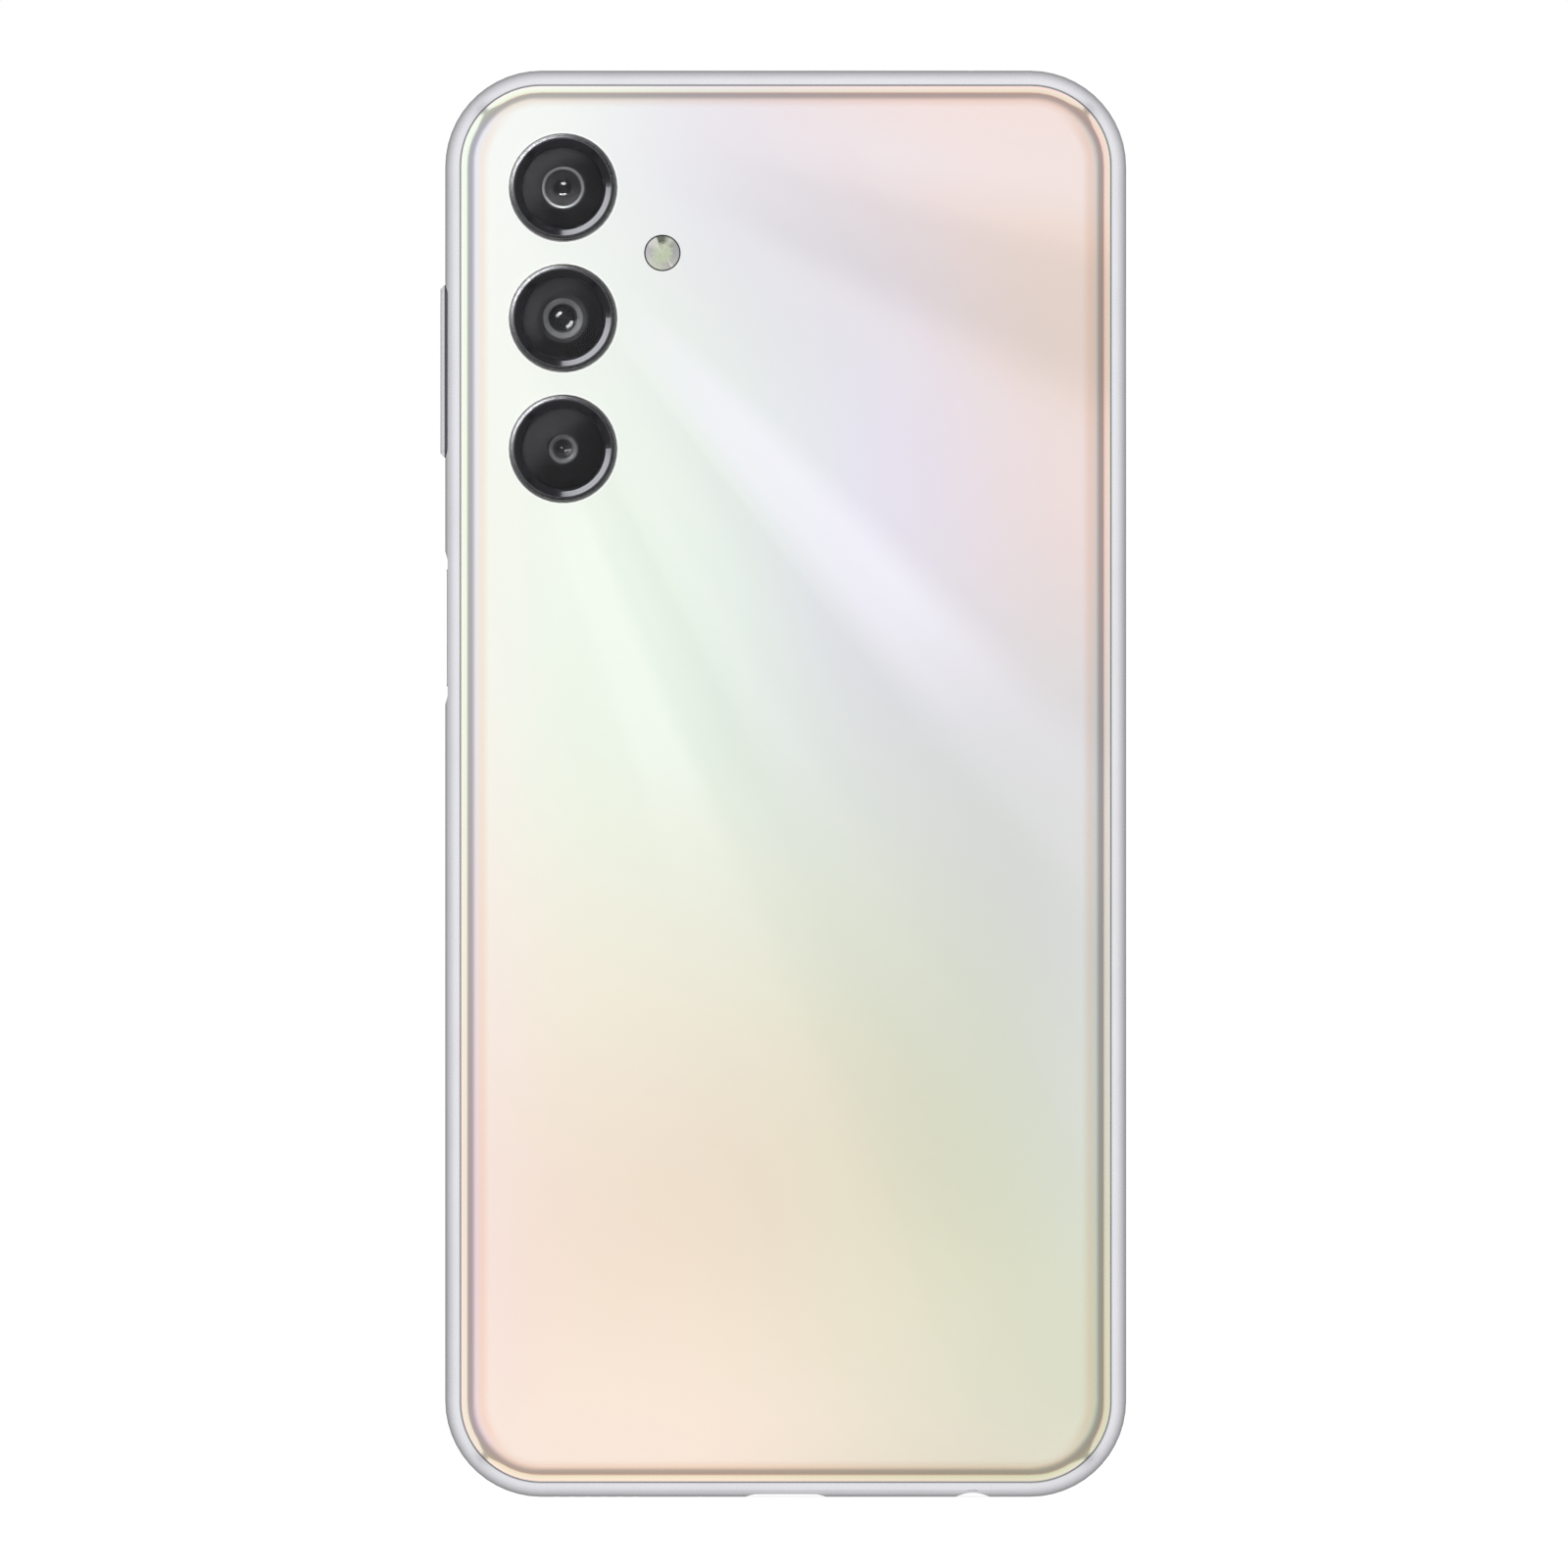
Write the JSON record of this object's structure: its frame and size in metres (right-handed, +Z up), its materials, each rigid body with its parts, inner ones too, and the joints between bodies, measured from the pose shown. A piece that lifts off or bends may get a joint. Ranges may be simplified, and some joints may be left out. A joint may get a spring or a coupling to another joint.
{
  "type": "smartphone",
  "caption": "Slim smartphone with a round-sided silver frame, pearl back cover, three ringed rear cameras and a flat black screen, built from its separate pieces.",
  "frame": {"origin": "middle of the bottom edge, at the middle of the width and thickness, on the surface that the phone stands on", "axes": "+Z up the long edge, +Y out of the screen, -Y out of the back cover, +X towards the SIM tray side (to the right seen from the back)"},
  "size_m": [0.0777, 0.0103, 0.1617],
  "materials": {
    "silver_frame": "metallic silver paint under a clear gloss coat",
    "pearl_cover": "clear gloss over a pale pearl film with soft green, lilac and peach tints",
    "screen_glass": "toughened flat glass, printed black behind its border",
    "screen_panel": "display stack, dark when off",
    "black_trim": "fine satin black",
    "dark_ring": "polished, dark anodised",
    "window_glass": "coated clear glass with a black printed rim",
    "camera_black": "black moulding",
    "flash_plastic": "clear moulded lens over a yellow phosphor",
    "phosphor": "yellow phosphor on a pale package",
    "sensor_face": "satin coated sensor",
    "bright_steel": "stamped and nickel plated",
    "cast_plate": "die cast, fine matt",
    "adhesive": "foam tape",
    "pull_strip": "white stretch tape",
    "black_plastic": "glass-filled moulding",
    "circuit_board": "solder mask over glass laminate",
    "chip_black": "moulded package",
    "flex_amber": "polyimide film",
    "antenna_copper": "etched copper loops",
    "graphite": "graphite film",
    "battery_wrap": "plain dark wrap on a foil pouch",
    "seal_rubber": "moulded seal",
    "mesh_metal": "dark woven mesh",
    "motor_weight": "dense sintered metal"
  },
  "bodies": {
    "phone": {"side_frame": "silver_frame", "mid_plate": "cast_plate", "back_cover": "pearl_cover", "back_cover_adhesive": "adhesive", "display_glass": "screen_glass", "display_panel": "screen_panel", "display_trim": "black_trim", "display_adhesive": "adhesive", "camera_ring_upper": "dark_ring", "camera_ring_middle": "dark_ring", "camera_ring_lower": "dark_ring", "camera_window_upper": "window_glass", "camera_window_middle": "window_glass", "camera_window_lower": "window_glass", "ultrawide_camera": "camera_black", "main_camera": "camera_black", "macro_camera": "camera_black", "flash_lens": "flash_plastic", "flash_led": "phosphor", "front_camera": "camera_black", "earpiece_speaker": "black_plastic", "earpiece_mesh": "mesh_metal", "light_sensor": "chip_black", "key_domes": "bright_steel", "key_flex": "flex_amber", "key_plate": "bright_steel", "sim_socket": "bright_steel", "main_board": "circuit_board", "processor": "chip_black", "shield_can": "bright_steel", "upper_bracket": "black_plastic", "nfc_coil": "antenna_copper", "graphite_sheet": "graphite", "battery": "battery_wrap", "battery_adhesive": "pull_strip", "battery_flex": "flex_amber", "main_flex": "flex_amber", "display_flex": "flex_amber", "coax_cable": "black_plastic", "sub_board": "circuit_board", "usb_c_shell": "bright_steel", "usb_c_tongue": "black_plastic", "headphone_jack": "black_plastic", "loudspeaker_box": "black_plastic", "loudspeaker_lid": "black_plastic", "loudspeaker_driver": "bright_steel", "speaker_mesh": "mesh_metal", "microphones": "bright_steel", "lower_bracket": "black_plastic", "vibration_motor_case": "bright_steel", "screws": "bright_steel"},
    "main_lens": {"main_lens_barrel": "camera_black"},
    "volume_rocker": {"volume_key": "silver_frame"},
    "power_button": {"power_key": "silver_frame", "fingerprint_sensor": "sensor_face"},
    "tray": {"sim_tray": "silver_frame", "sim_tray_gasket": "seal_rubber"},
    "ejector_rod": {"sim_ejector_rod": "bright_steel"},
    "ejector_lever": {"sim_ejector_lever": "bright_steel"},
    "motor_weight": {"vibration_motor_weight": "motor_weight"}
  },
  "joints": [
    {"name": "main_lens_focus", "type": "slide", "parent": "phone", "child": "main_lens", "axis": [0, -1, 0], "range_m": [0, 0.0003], "stiffness_N_per_m": 40},
    {"name": "volume_rock", "type": "hinge", "parent": "phone", "child": "volume_rocker", "pos_m": [-0.0374, 0, 0.1276], "axis": [0, 1, 0], "range_deg": [-1.7, 1.7], "stiffness_Nm_per_rad": 0.3},
    {"name": "power_press", "type": "slide", "parent": "phone", "child": "power_button", "axis": [1, 0, 0], "range_m": [0, 0.00025], "stiffness_N_per_m": 4000},
    {"name": "tray_slide", "type": "slide", "parent": "phone", "child": "tray", "axis": [1, 0, 0], "range_m": [0, 0.03]},
    {"name": "ejector_push", "type": "slide", "parent": "phone", "child": "ejector_rod", "axis": [-1, 0, 0], "range_m": [0, 0.0016]},
    {"name": "ejector_lever_swing", "type": "hinge", "parent": "phone", "child": "ejector_lever", "pos_m": [0.0044, 0.00065, 0.126], "axis": [0, 1, 0], "range_deg": [0, 24.6]},
    {"name": "motor_spin", "type": "hinge", "parent": "phone", "child": "motor_weight", "pos_m": [0.0296, 0, 0.013], "axis": [0, 1, 0], "continuous": true}
  ],
  "couplings": [
    {"joint": "ejector_lever_swing", "follows": "ejector_push", "rad_per_m": 267.99}
  ]
}
